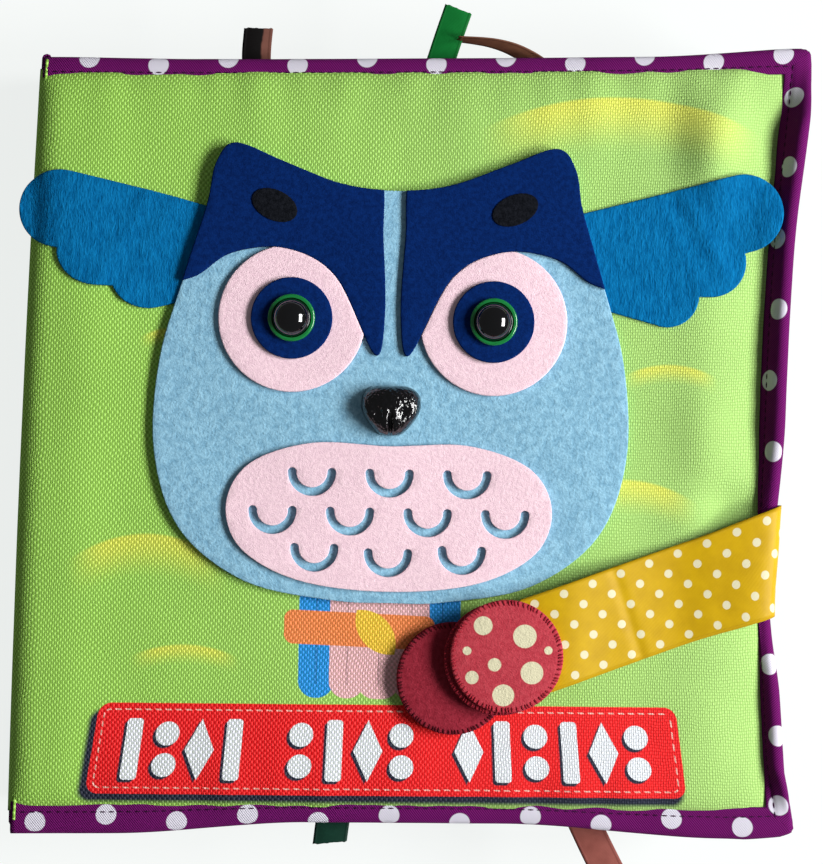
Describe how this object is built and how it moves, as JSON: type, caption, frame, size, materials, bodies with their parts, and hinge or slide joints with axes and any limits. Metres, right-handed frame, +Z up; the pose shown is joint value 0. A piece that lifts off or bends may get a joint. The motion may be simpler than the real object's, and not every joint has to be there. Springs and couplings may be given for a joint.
{
  "type": "soft cloth activity book",
  "caption": "Square padded cloth book with bound felt-trimmed covers that open about a flat spine, fastened by a ribbon strap.",
  "frame": {"origin": "middle of the bottom face of the closed book, on its back cover", "axes": "+X from the spine to the fore-edge, +Y to the head of the book, +Z up through the front cover"},
  "size_m": [0.2012, 0.2311, 0.048],
  "materials": {
    "green_cloth": "matte canvas weave with printed fields",
    "lining_cloth": "matte cloth",
    "wadding": "soft polyester wadding",
    "purple_tape": "twill tape with pale spots",
    "blue_felt": "matte felt",
    "navy_felt": "matte felt",
    "pink_felt": "matte felt",
    "teal_felt": "matte felt",
    "black_felt": "matte felt",
    "red_felt": "matte felt with cream spots",
    "dark_red_felt": "matte felt",
    "hook_tape": "hook-and-loop tape",
    "yellow_ribbon": "satin ribbon with white spots",
    "brown_ribbon": "satin ribbon",
    "bright_green_ribbon": "satin ribbon",
    "dark_green_ribbon": "satin ribbon",
    "leaf_cloth": "printed cloth leaves",
    "black_plastic": "glossy",
    "green_plastic": "glossy",
    "white_plastic": "matte"
  },
  "bodies": {
    "pages": {"page_block": "leaf_cloth", "page_binding_1": "purple_tape", "page_binding_2": "purple_tape", "page_binding_3": "purple_tape", "page_binding_4": "purple_tape", "spine_cloth": "green_cloth", "spine_binding_head": "purple_tape", "spine_binding_foot": "purple_tape", "ribbon_head_brown": "brown_ribbon", "ribbon_head_green": "bright_green_ribbon", "ribbon_head_bronze": "brown_ribbon", "ribbon_foot_green": "dark_green_ribbon", "ribbon_foot_brown": "brown_ribbon"},
    "front_cover": {"front_cover_cloth": "green_cloth", "front_cover_wadding": "wadding", "front_cover_lining": "lining_cloth", "front_binding": "purple_tape", "owl_body_felt": "blue_felt", "owl_brow_left": "navy_felt", "owl_brow_right": "navy_felt", "owl_tummy_felt": "pink_felt", "owl_wing_left": "teal_felt", "owl_wing_right": "teal_felt", "tuft_spot_left": "black_felt", "tuft_spot_right": "black_felt", "eye_patch_left": "pink_felt", "eye_patch_right": "pink_felt", "eye_disc_left": "navy_felt", "eye_disc_right": "navy_felt", "eye_rim_left": "green_plastic", "eye_rim_right": "green_plastic", "eye_dome_left": "black_plastic", "eye_dome_right": "black_plastic", "eye_washer_left": "white_plastic", "eye_washer_right": "white_plastic", "beak": "black_plastic", "beak_washer": "white_plastic", "strap_ribbon": "yellow_ribbon", "strap_disc_front": "red_felt", "strap_disc_back": "dark_red_felt", "strap_hook_patch": "hook_tape", "cover_loop_patch": "hook_tape", "cover_disc": "dark_red_felt"},
    "back_cover": {"back_cover_cloth": "green_cloth", "back_cover_wadding": "wadding", "back_cover_lining": "lining_cloth", "back_binding": "purple_tape"}
  },
  "joints": [
    {"name": "front_cover_hinge", "type": "hinge", "parent": "pages", "child": "front_cover", "pos_m": [-0.0996, 0, 0.036], "axis": [0, -1, 0], "range_deg": [0, 180]},
    {"name": "back_cover_hinge", "type": "hinge", "parent": "pages", "child": "back_cover", "pos_m": [-0.0996, 0, 0.0026], "axis": [0, 1, 0], "range_deg": [0, 180]}
  ]
}
